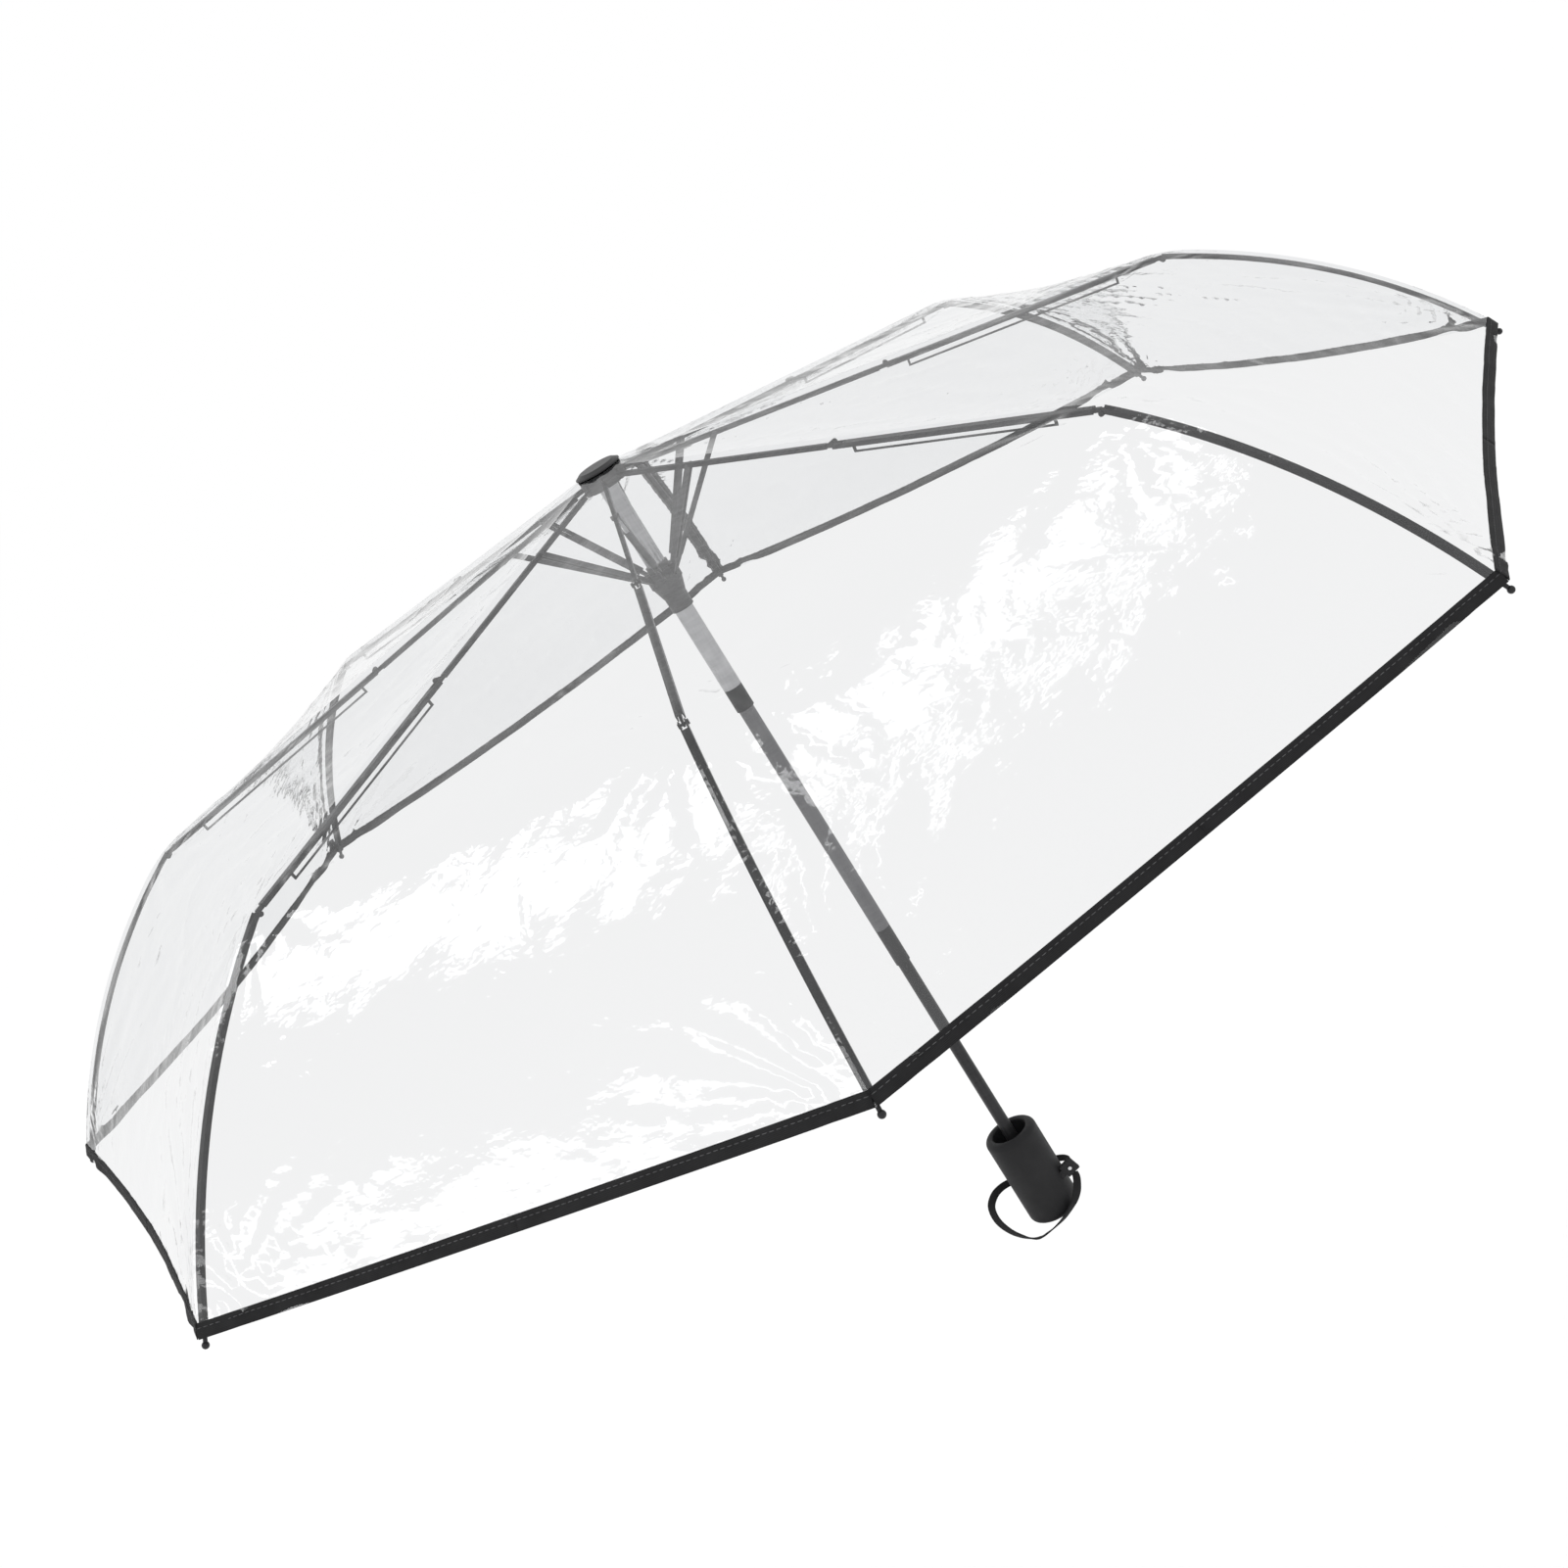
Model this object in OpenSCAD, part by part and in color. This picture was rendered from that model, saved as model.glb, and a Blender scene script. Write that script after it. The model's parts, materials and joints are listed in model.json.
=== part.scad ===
// Clear dome umbrella with a three-section telescopic shaft and eight folding ribs.
// Origin: centre of the hand grip, on the shaft axis. +Z runs up the shaft to the crown.

/* [Canopy] */
// Distance from the shaft axis to the ends of the ribs
tip_radius = 477; // [390:1:575]
// Height of the rib ends above the centre of the grip
tip_height = 324; // [270:1:345]
// Height of the crown hinges above the centre of the grip
crown_height = 514; // [505:1:620]
// Downward slope of the inner two rib sections, in degrees
cone_slope = 9.72; // [8:0.01:12]
// How far the outer rib section bows away from its chord
outer_bow = 12; // [9:0.5:15]
// Thickness of the clear film panels
film_thickness = 0.6; // [0.4:0.1:0.8]
// Width of the binding tape along the rim
tape_width = 7.5; // [6:0.5:9]
// Thickness of the binding tape
tape_thickness = 1.2; // [1:0.1:1.5]
// Distance between the rib tops and the film
film_clearance = 2.2; // [1.8:0.1:2.8]

/* [Ribs] */
// Length of the rib section next to the crown, hinge to hinge
top_rib_length = 160.7; // [134:0.1:193]
// Length of the middle rib section, hinge to hinge
mid_rib_length = 165; // [137:0.5:170]
// Height of the rib channels
rib_height = 2.8; // [2.3:0.1:3.4]
// Half the width of the inner rib channel
top_rib_half = 1.1; // [0.9:0.05:1.1]
// Half the width of the other rib channels
rib_half = 2; // [1.95:0.05:2.1]
// Sheet thickness of the channels
rib_wall = 0.6; // [0.5:0.05:0.65]
// Radius of the hinge rivets
rivet_radius = 0.7; // [0.6:0.05:0.8]
// Running clearance around rivets and hinge wires
pin_clearance = 0.07; // [0.05:0.01:0.1]
// Length of the metal rod that stands out of each outer rib
tip_rod_length = 6; // [5:0.5:8]
// Radius of the ball on the end of each tip rod
tip_ball_radius = 1.9; // [1.6:0.1:2.3]
// Distance of the control wire below the middle rib
control_wire_drop = 6.2; // [5.2:0.1:6.8]

/* [Stretchers] */
// Height of the runner hinges above the centre of the grip
runner_height = 448; // [440:1:455]
// Distance from the crown hinge to the pin of the stretcher, along the rib
stretcher_reach = 57; // [48:1:68]

/* [Shaft] */
// Outer radius of the lower tube
lower_tube_radius = 4; // [3.5:0.1:4.2]
// Outer radius of the middle tube
mid_tube_radius = 4.8; // [4.7:0.1:4.9]
// Outer radius of the top tube
top_tube_radius = 5.7; // [5.6:0.1:5.9]
// Wall of the tubes
tube_wall = 0.5; // [0.35:0.05:0.55]
// Sliding clearance between the bushes and the tubes
slide_clearance = 0.05; // [0.03:0.01:0.09]
// Height of the top end of the lower tube
lower_tube_top = 213; // [203:1:240]
// Height of the bottom end of the middle tube
mid_tube_bottom = 193; // [180:1:200]
// Height of the top end of the middle tube
mid_tube_top = 383; // [380:1:390]
// Height of the bottom end of the top tube
top_tube_bottom = 370.5; // [365:0.5:375]
// Length of the bush under the middle tube
mid_bush_length = 26; // [20:1:31]
// Length of the bush under the top tube
top_bush_length = 15; // [12:1:18]

/* [Crown and runner] */
// Outer radius of the crown hub
crown_radius = 13.4; // [12.9:0.1:16]
// Outer radius of the cap over the crown
cap_radius = 14; // [13:0.5:17]
// Radius of the ring wire in the crown
crown_wire_ring = 11; // [10.7:0.1:11.3]
// Outer radius of the runner flange
runner_radius = 10; // [9.6:0.1:10.2]
// Radius of the ring wire in the runner
runner_wire_ring = 8.5; // [8.4:0.1:8.6]
// Radius of the hinge wires
wire_radius = 0.6; // [0.5:0.05:0.65]

/* [Handle] */
// Outer radius of the hand grip
grip_radius = 17.25; // [14.35:0.05:20.7]
// Length of the hand grip
grip_length = 64; // [54:1:68]
// Radius of the cup mouth in the top of the grip
cup_radius = 11.5; // [9.6:0.1:13]
// Depth of the cup
cup_depth = 20; // [17:1:24]
// Rounding of the grip edges
grip_round = 4; // [3:0.5:5]
// Side of the square strap tab
tab_size = 9; // [8:0.5:9.5]
// Thickness of the strap tab
tab_thickness = 3; // [2.4:0.1:3.4]
// Diameter of the strap, taken as a round cord
strap_diameter = 3; // [2.4:0.1:3]

/* [Hidden] */
$fn = 64;
RIB_COUNT = 8;
rib_step = 360 / RIB_COUNT;
first_azimuth = -90;
tongue_half = 0.6;
lug_radius = 1.5;
cheek_inner = 1.35;
head_radius = 1.35;
head_depth = 0.5;
head_gap = 0.2;
slot_half = 0.95;
stretcher_drop = 1.6;
web_setback = 22;
hub_height = 9;
tab_centre = [21.2, -9, -6.5];
tab_tilt = 17;
film_row_count = 7;
panel_gap = 0.4;
seam_gap = 0.15;

// Unit vectors in the plane of a rib, as [radius, height], for a downward slope
function along(slope) = [cos(slope), -sin(slope)];
function normal(slope) = [sin(slope), cos(slope)];

// The three rib hinges in the plane of a rib
crown_pivot = [crown_wire_ring, crown_height];
first_pivot = crown_pivot + top_rib_length * along(cone_slope);
knee_pivot = first_pivot + mid_rib_length * along(cone_slope) - rib_height * normal(cone_slope);
tip_point = [tip_radius, tip_height];

// The arc of the outer rib's underside, from the knee to the tip
chord = tip_point - knee_pivot;
chord_length = norm(chord);
bow_radius = (chord_length * chord_length / 4 + outer_bow * outer_bow) / (2 * outer_bow);
half_arc = asin(chord_length / 2 / bow_radius);
chord_slope = atan2(-chord[1], chord[0]);
start_slope = chord_slope - half_arc;
end_slope = chord_slope + half_arc;
bow_centre = knee_pivot - bow_radius * normal(start_slope);
degrees_per_mm = 180 / PI / bow_radius;

// The stretcher, from the runner hinge to its pin on the inner rib
runner_pivot = [runner_wire_ring, runner_height];
stretcher_pin = crown_pivot + stretcher_reach * along(cone_slope) - stretcher_drop * normal(cone_slope);
stretcher_vector = stretcher_pin - runner_pivot;
stretcher_length = norm(stretcher_vector);
stretcher_slope = atan2(-stretcher_vector[1], stretcher_vector[0]);

// The film surface over the ribs
hub_top = crown_height + 4;
film_inner_edge = [crown_radius - 3, hub_top + 0.3];
film_knee_edge = knee_pivot + (rib_height + film_clearance) * normal(cone_slope);
film_radius = bow_radius + rib_height + film_clearance;
film_start_slope = start_slope + 1.2 * degrees_per_mm;
film_end_slope = end_slope + 3 * degrees_per_mm;
tape_slope = film_end_slope - tape_width * degrees_per_mm;
function film_point(slope) = bow_centre + film_radius * normal(slope);

// Strap route: out of the tab, down past the grip, round below it and back behind it to the tab
strap_route = [
    [22.2, -9.2, -11.4], [22, -10, -14.2], [20.4, -11.4, -17.6], [17.6, -13.6, -21.5],
    [12.8, -16.2, -25.4], [4.4, -19.4, -29.2], [-4, -19.4, -32.4], [-13, -16.8, -35.6],
    [-18.5, -14, -36.9], [-25, -9.5, -35.2], [-32, -4, -29.5], [-36.2, 1.5, -21.5],
    [-35.8, 7, -14], [-31, 12, -10.2], [-24.5, 16.5, -9.8], [-16.5, 20, -11.5], [-7, 22, -12.5],
    [3, 22.3, -12.5], [13, 19.2, -12], [20, 12.5, -11], [23.4, 4, -9.5], [23.2, -2.5, -8.5],
    [22.4, -7.4, -8],
];

// A ribbed sheet section that is open at the bottom, as [sideways, up]
function channel_outline(half, wall) = [
    [-half, -rib_height], [-half, 0], [half, 0], [half, -rib_height], [half - wall, -rib_height],
    [half - wall, -wall], [wall - half, -wall], [wall - half, -rib_height],
];

module in_rib_plane(k) {
    rotate([0, 0, first_azimuth + k * rib_step]) children();
}

// Moves to a point of the rib plane, with +X down the given slope
module at_point(point, slope) {
    translate([point[0], 0, point[1]]) rotate([0, slope, 0]) children();
}

// A straight channel along +X between two distances
module channel(from, to, half, wall) {
    translate([from, 0, 0]) rotate([90, 0, 90]) linear_extrude(to - from)
        polygon(channel_outline(half, wall));
}

// A flat plate in the rib plane, centred on it
module plate(thickness) {
    rotate([90, 0, 0]) linear_extrude(thickness, center = true) children();
}

// Two equal plates, one on each side of the rib plane
module cheek_pair(inner, outer) {
    for (side = [-1, 1])
        translate([0, side * (inner + outer) / 2, 0]) plate(outer - inner) children();
}

// A pin across the rib at a point, and its two heads
module cross_pin(x, z, radius, half) {
    translate([x, 0, z]) rotate([90, 0, 0]) cylinder(h = 2 * half, r = radius, center = true);
}

module rivet(x, z) {
    outer = rib_half + head_gap + head_depth;
    cross_pin(x, z, rivet_radius, outer);
    for (side = [-1, 1])
        translate([x, side * (outer - head_depth / 2), z]) rotate([90, 0, 0])
            cylinder(h = head_depth, r = head_radius, center = true);
}

module top_rib(k) {
    color("dimgray") in_rib_plane(k) at_point(crown_pivot, cone_slope) {
        channel(8, top_rib_length - 4.5, top_rib_half, rib_wall - 0.1);
        plate(2 * tongue_half) difference() {
            union() {
                circle(r = lug_radius);
                translate([0, -1.5]) square([10, 1.5]);
            }
            circle(r = wire_radius + pin_clearance);
        }
        plate(2 * tongue_half) {
            translate([top_rib_length, 0]) circle(r = lug_radius);
            translate([top_rib_length - 6.5, 0.4 - rib_height]) square([6.5, rib_height - 0.4]);
        }
        rivet(top_rib_length, 0);
        cross_pin(stretcher_reach, -stretcher_drop, rivet_radius, cheek_inner - 0.1);
    }
}

module mid_rib(k) {
    wire_from = 12;
    wire_to = mid_rib_length - 27;
    color("dimgray") in_rib_plane(k) at_point(first_pivot, cone_slope) {
        channel(7, mid_rib_length - 4.5, rib_half, rib_wall);
        cheek_pair(cheek_inner, rib_half) difference() {
            union() {
                circle(r = lug_radius);
                translate([0, -rib_height]) square([8, rib_height]);
            }
            circle(r = rivet_radius + pin_clearance);
        }
        plate(2 * tongue_half) {
            translate([mid_rib_length, -rib_height]) circle(r = lug_radius);
            translate([mid_rib_length - 8, -rib_height]) square([8, rib_height - 0.3]);
        }
        rivet(mid_rib_length, -rib_height);
        translate([wire_from, 0, -control_wire_drop]) rotate([0, 90, 0])
            cylinder(h = wire_to - wire_from, r = 0.6);
        for (x = [wire_from, wire_to - 1.2])
            translate([x, -0.6, -control_wire_drop]) cube([1.2, 1.2, control_wire_drop - 0.3]);
    }
}

module outer_rib(k) {
    channel_start = 6 * degrees_per_mm;
    color("dimgray") in_rib_plane(k) {
        translate([bow_centre[0], 0, bow_centre[1]]) rotate([90, 0, 0])
            rotate([0, 0, 90 - end_slope])
                rotate_extrude(angle = end_slope - start_slope - channel_start, $fn = 360)
                    translate([bow_radius + rib_height, 0]) rotate([0, 0, -90])
                        polygon(channel_outline(rib_half, rib_wall));
        at_point(knee_pivot, start_slope) cheek_pair(cheek_inner, rib_half) difference() {
            union() {
                circle(r = lug_radius);
                square([8, rib_height]);
            }
            circle(r = rivet_radius + pin_clearance);
        }
        at_point(tip_point, end_slope) {
            translate([-5, 0.1 - rib_half, 0.2]) cube([5.5, 2 * rib_half - 0.2, rib_height - 0.4]);
            translate([0, 0, rib_height / 2]) rotate([0, 90, 0])
                cylinder(h = tip_rod_length, r = rib_height / 2 - 0.3);
            translate([tip_rod_length, 0, rib_height / 2]) sphere(r = tip_ball_radius);
        }
    }
}

module stretcher(k) {
    half_height = rib_height / 2;
    web_end = stretcher_length - web_setback;
    color("gray") in_rib_plane(k) at_point(runner_pivot, stretcher_slope) {
        translate([0, 0, half_height]) channel(9, web_end, rib_half, rib_wall);
        plate(2 * tongue_half) difference() {
            union() {
                circle(r = lug_radius);
                translate([0, -1.3]) square([12, 2.4]);
            }
            circle(r = wire_radius + pin_clearance);
        }
        cheek_pair(rib_half - rib_wall, rib_half) {
            translate([stretcher_length, 0]) circle(r = half_height);
            translate([web_end - 1, -half_height]) square([web_setback + 1, rib_height]);
        }
        for (side = [-1, 1])
            translate([stretcher_length, side * (rib_half + head_depth / 2), 0]) rotate([90, 0, 0])
                cylinder(h = head_depth, r = head_radius, center = true);
    }
}

// A closed sheet over one rib or one gap. Rows are [radius, height] pairs on its underside with
// their outward normals, and columns are fractions of the way to the next rib on each side.
module film_sheet(rows, normals, thickness, columns) {
    function spread(p, c) = let (next = [cos(rib_step), sign(c) * sin(rib_step)], f = abs(c))
        [p[0] * (1 - f + f * next[0]), p[0] * f * next[1], p[1]];
    row_count = len(rows);
    column_count = len(columns);
    layer = row_count * column_count;
    function at(i, j, side) = side * layer + i * column_count + j;
    points = [
        for (side = [0, 1]) for (i = [0 : row_count - 1]) for (c = columns)
            spread(rows[i] + side * thickness * normals[i], c)
    ];
    under = [
        for (i = [0 : row_count - 2]) for (j = [0 : column_count - 2])
            [at(i, j, 0), at(i, j + 1, 0), at(i + 1, j + 1, 0), at(i + 1, j, 0)]
    ];
    over = [
        for (i = [0 : row_count - 2]) for (j = [0 : column_count - 2])
            [at(i + 1, j, 1), at(i + 1, j + 1, 1), at(i, j + 1, 1), at(i, j, 1)]
    ];
    inner_end = [
        for (j = [0 : column_count - 2]) [at(0, j + 1, 0), at(0, j, 0), at(0, j, 1), at(0, j + 1, 1)]
    ];
    outer_end = [
        for (j = [0 : column_count - 2]) let (i = row_count - 1)
            [at(i, j, 0), at(i, j + 1, 0), at(i, j + 1, 1), at(i, j, 1)]
    ];
    first_side = [
        for (i = [0 : row_count - 2]) [at(i, 0, 0), at(i + 1, 0, 0), at(i + 1, 0, 1), at(i, 0, 1)]
    ];
    last_side = [
        for (i = [0 : row_count - 2]) let (j = column_count - 1)
            [at(i + 1, j, 0), at(i, j, 0), at(i, j, 1), at(i + 1, j, 1)]
    ];
    polyhedron(points, concat(under, over, inner_end, outer_end, first_side, last_side));
}

// The film from the crown to the knees: one flat welded panel between each pair of ribs
module canopy_inner() {
    slope = atan2(film_inner_edge[1] - film_knee_edge[1], film_knee_edge[0] - film_inner_edge[0]);
    gap_share = panel_gap / 2 / (2 * film_knee_edge[0] * sin(rib_step / 2));
    color("whitesmoke", 0.3) for (k = [0 : RIB_COUNT - 1])
        in_rib_plane(k)
            film_sheet([film_inner_edge, film_knee_edge], [normal(slope), normal(slope)],
                film_thickness, [gap_share, 1 - gap_share]);
}

function arc_rows(from, to, count) = [for (i = [0 : count - 1]) from + (to - from) * i / (count - 1)];

// The film and the rim tape over one outer rib, halfway to its neighbours
module canopy_outer(k) {
    share = 0.5 - panel_gap / 2 / (2 * tip_radius * sin(rib_step / 2));
    film_slopes = arc_rows(film_start_slope, tape_slope, film_row_count);
    tape_slopes = [tape_slope + seam_gap * degrees_per_mm, film_end_slope];
    in_rib_plane(k) {
        color("whitesmoke", 0.3)
            film_sheet([for (s = film_slopes) film_point(s)], [for (s = film_slopes) normal(s)],
                film_thickness, [-share, 0, share]);
        color("black")
            film_sheet([for (s = tape_slopes) film_point(s)], [for (s = tape_slopes) normal(s)],
                tape_thickness, [-share, 0, share]);
    }
}

// A thin tube between two heights
module tube(from, to, outer, inner) {
    translate([0, 0, from]) difference() {
        cylinder(h = to - from, r = outer);
        translate([0, 0, -1]) cylinder(h = to - from + 2, r = inner);
    }
}

// A ring of round wire
module wire_ring(ring, height, radius) {
    translate([0, 0, height]) rotate_extrude() translate([ring, 0]) circle(r = radius, $fn = 32);
}

module radial_slots(from, low, high) {
    for (k = [0 : RIB_COUNT - 1])
        in_rib_plane(k) translate([from, -slot_half, low]) cube([20, 2 * slot_half, high - low]);
}

module crown() {
    color("black") difference() {
        tube(hub_top - hub_height, hub_top, crown_radius, top_tube_radius + 0.02);
        radial_slots(crown_wire_ring - 1.7, hub_top - hub_height - 1, crown_height + 1.9);
        wire_ring(crown_wire_ring, crown_height, wire_radius + 0.02);
    }
}

module crown_hinge_wire() {
    color("silver") wire_ring(crown_wire_ring, crown_height, wire_radius);
}

module crown_cap() {
    dome = 2.5;
    color("black") {
        translate([0, 0, hub_top]) cylinder(h = 1.2, r = film_inner_edge[0] - 0.5);
        translate([0, 0, hub_top + 1]) rotate_extrude() hull() {
            square([cap_radius, 0.8]);
            square([cap_radius - 3, dome]);
        }
    }
}

module runner() {
    flange_low = runner_height - 4.5;
    flange_high = runner_height + 4.5;
    bore = top_tube_radius + slide_clearance;
    color("black") difference() {
        union() {
            tube(runner_height - 22, runner_height + 8, bore + 1.1, bore);
            tube(flange_low, flange_high, runner_radius, bore);
            translate([0, 0, flange_low - 9]) difference() {
                cylinder(h = 9, r1 = bore + 1.1, r2 = runner_radius - 0.4);
                translate([0, 0, -1]) cylinder(h = 11, r = bore);
            }
        }
        radial_slots(runner_wire_ring - 1.65, runner_height - 2.1, runner_height + 10);
        wire_ring(runner_wire_ring, runner_height, wire_radius + 0.02);
    }
}

module runner_hinge_wire() {
    color("silver") wire_ring(runner_wire_ring, runner_height, wire_radius);
}

module top_tube() {
    color("silver") tube(top_tube_bottom, hub_top, top_tube_radius, top_tube_radius - tube_wall);
}

module top_tube_bush() {
    bore = mid_tube_radius + slide_clearance;
    color("black") {
        tube(top_tube_bottom - top_bush_length, top_tube_bottom, top_tube_radius - 0.05, bore);
        tube(top_tube_bottom - 1, top_tube_bottom + 7, top_tube_radius - tube_wall - 0.02, bore);
    }
}

module mid_tube() {
    color("darkgray") tube(mid_tube_bottom, mid_tube_top, mid_tube_radius, mid_tube_radius - tube_wall);
}

module mid_tube_bush() {
    bore = lower_tube_radius + slide_clearance;
    color("black") {
        tube(mid_tube_bottom - mid_bush_length, mid_tube_bottom, mid_tube_radius - 0.1, bore);
        tube(mid_tube_bottom - 1, mid_tube_bottom + 6, mid_tube_radius - tube_wall - 0.02, bore);
    }
}

module lower_tube() {
    color("black") tube(-grip_length / 2 + 10, lower_tube_top, lower_tube_radius, lower_tube_radius - tube_wall);
}

module handle_grip() {
    low = -grip_length / 2;
    high = grip_length / 2;
    r = grip_round;
    lip = 1.5;
    floor_height = high - cup_depth;
    color("dimgray") rotate_extrude() difference() {
        union() {
            translate([0, low]) square([grip_radius - r, grip_length]);
            translate([0, low + r]) square([grip_radius, grip_length - 2 * r]);
            for (z = [low + r, high - r]) translate([grip_radius - r, z]) circle(r = r);
        }
        translate([-grip_radius * 2, low - 1]) square([grip_radius * 2, grip_length + 2]);
        translate([-1, floor_height]) square([cup_radius + 1, cup_depth + 1]);
        translate([cup_radius - 1, high - lip]) difference() {
            square([lip + 1, lip + 1]);
            translate([lip + 1, 0]) circle(r = lip);
        }
        translate([-1, low + 10]) square([lower_tube_radius + 1.02, grip_length]);
    }
}

module strap_anchor() {
    color("black") {
        difference() {
            translate([tab_centre[0], tab_centre[1], tab_centre[2]]) rotate([0, -tab_tilt, 0]) {
                cube([tab_size, tab_thickness, tab_size], center = true);
                translate([-tab_size / 2 - 3, 0, 0])
                    cube([8, tab_thickness - 0.6, tab_size - 4], center = true);
            }
            cylinder(h = 200, r = grip_radius + 0.02, center = true, $fn = 96);
        }
        translate(tab_centre) rotate([90, 0, 0]) cylinder(h = tab_thickness / 2 + 0.7, r = 1.2);
    }
}

// Unit direction, and the two ends of a route's side vectors, at point i
function direction(route, i) = let (
        d = route[min(i + 1, len(route) - 1)] - route[max(i - 1, 0)]
    ) d / norm(d);
function side_vector(d) = let (s = cross(d, abs(d[1]) < 0.9 ? [0, 1, 0] : [1, 0, 0])) s / norm(s);

module wrist_strap() {
    sides = 8;
    count = len(strap_route);
    radius = strap_diameter / 2;
    points = [
        for (i = [0 : count - 1])
            let (d = direction(strap_route, i), u = side_vector(d), v = cross(d, u))
                for (j = [0 : sides - 1])
                    strap_route[i] + radius * (cos(360 * j / sides) * u + sin(360 * j / sides) * v)
    ];
    walls = [
        for (i = [0 : count - 2]) for (j = [0 : sides - 1]) let (n = (j + 1) % sides)
            [i * sides + j, (i + 1) * sides + j, (i + 1) * sides + n, i * sides + n]
    ];
    caps = [[for (j = [0 : sides - 1]) j], [for (j = [sides - 1 : -1 : 0]) (count - 1) * sides + j]];
    color("black") polyhedron(points, concat(walls, caps));
}

RIB_PARTS = ["top_rib", "mid_rib", "outer_rib", "stretcher", "canopy_outer"];
handle_grip();
strap_anchor();
wrist_strap();
lower_tube();
mid_tube();
mid_tube_bush();
top_tube();
top_tube_bush();
crown();
crown_hinge_wire();
crown_cap();
canopy_inner();
runner();
runner_hinge_wire();
for (k = [0 : RIB_COUNT - 1]) {
    top_rib(k);
    mid_rib(k);
    outer_rib(k);
    stretcher(k);
    canopy_outer(k);
}
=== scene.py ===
# %% [markdown]
# A clear folding umbrella
#
# The metal frame comes from CAD and stays exactly where it is. This lesson adds what CAD leaves
# plain: the clear film over the ribs, the sewn tape along its rim, the ribbon on the grip, and a
# finish for every piece of metal and plastic.

# %% Load the frame
import json
import math
import bmesh
import bpy
from mathutils import Matrix, Vector, noise


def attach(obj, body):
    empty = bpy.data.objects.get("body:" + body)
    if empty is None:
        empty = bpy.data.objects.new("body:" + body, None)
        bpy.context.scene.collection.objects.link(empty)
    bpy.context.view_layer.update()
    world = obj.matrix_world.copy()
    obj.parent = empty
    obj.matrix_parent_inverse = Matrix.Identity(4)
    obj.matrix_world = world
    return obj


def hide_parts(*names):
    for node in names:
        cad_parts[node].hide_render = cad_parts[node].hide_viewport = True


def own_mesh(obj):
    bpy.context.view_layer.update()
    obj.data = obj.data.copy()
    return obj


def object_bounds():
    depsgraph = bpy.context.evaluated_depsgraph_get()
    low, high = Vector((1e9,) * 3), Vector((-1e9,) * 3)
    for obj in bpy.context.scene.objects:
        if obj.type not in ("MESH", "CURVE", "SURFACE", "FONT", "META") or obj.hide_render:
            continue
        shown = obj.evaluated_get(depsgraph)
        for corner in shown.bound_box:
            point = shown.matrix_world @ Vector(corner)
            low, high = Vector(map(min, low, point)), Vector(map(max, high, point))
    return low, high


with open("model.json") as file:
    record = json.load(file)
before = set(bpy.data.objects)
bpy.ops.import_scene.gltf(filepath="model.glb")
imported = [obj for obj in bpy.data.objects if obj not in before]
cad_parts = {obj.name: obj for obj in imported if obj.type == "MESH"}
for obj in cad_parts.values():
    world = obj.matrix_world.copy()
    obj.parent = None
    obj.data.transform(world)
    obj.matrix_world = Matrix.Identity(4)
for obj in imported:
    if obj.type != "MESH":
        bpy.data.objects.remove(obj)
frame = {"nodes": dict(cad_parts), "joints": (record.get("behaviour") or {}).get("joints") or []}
bpy.ops.object.select_all(action="DESELECT")
cad_box = [list(corner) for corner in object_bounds()]
joint_at = {j["name"]: Vector(j["pos_m"]) for j in frame["joints"] if "pos_m" in j}
print("CAD box, m:", [[round(x, 4) for x in corner] for corner in cad_box])

# %% [markdown]
# The camera is held a little above the hands of somebody who tilts the umbrella: it looks down by
# about 18 degrees and is rolled, so the shaft leans. It is written as the three directions of its
# own axes, which is the plainest way to state a rolled camera.

# %% Camera
camera_data = bpy.data.cameras.new("camera")
camera_data.lens, camera_data.sensor_width = 53.28, 36.0
camera = bpy.data.objects.new("camera", camera_data)
bpy.context.scene.collection.objects.link(camera)
camera_right = Vector((0.85931, -0.08892, -0.50367))
camera_up = Vector((0.50516, 0.30161, 0.80861))
camera_back = camera_right.cross(camera_up)
camera.matrix_world = Matrix.Translation((0.1052, -1.3023, 0.7203)) @ Matrix(
    (camera_right, camera_up, camera_back)).transposed().to_4x4()
bpy.context.scene.camera = camera
print("camera at", [round(x, 3) for x in camera.location])

# %% [markdown]
# The wrist ribbon is a flat woven tape. It leaves the stitched tab, hangs below the grip and comes
# back behind it. A curve with a bevel would turn it into a rope, so it is a strip swept along its
# route, with its own width direction at each point: that lets it turn edge-on at the bottom of the
# loop, as a ribbon does.

# %% Route of the ribbon
ribbon_points = [(x / 1000, y / 1000, z / 1000) for x, y, z in (
    (22.2, -9.2, -11.4), (22, -10, -14.2), (20.4, -11.4, -17.6), (17.6, -13.6, -21.5),
    (12.8, -16.2, -25.4), (4.4, -19.4, -29.2), (-4, -19.4, -32.4), (-13, -16.8, -35.6),
    (-18.5, -14, -36.9), (-25, -9.5, -35.2), (-32, -4, -29.5), (-36.2, 1.5, -21.5),
    (-35.8, 7, -14), (-31, 12, -10.2), (-24.5, 16.5, -9.8), (-16.5, 20, -11.5), (-7, 22, -12.5),
    (3, 22.3, -12.5), (13, 19.2, -12), (20, 12.5, -11), (23.4, 4, -9.5), (23.2, -2.5, -8.5),
    (22.4, -7.4, -8))]
STEPS_PER_SPAN = 6


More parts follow.
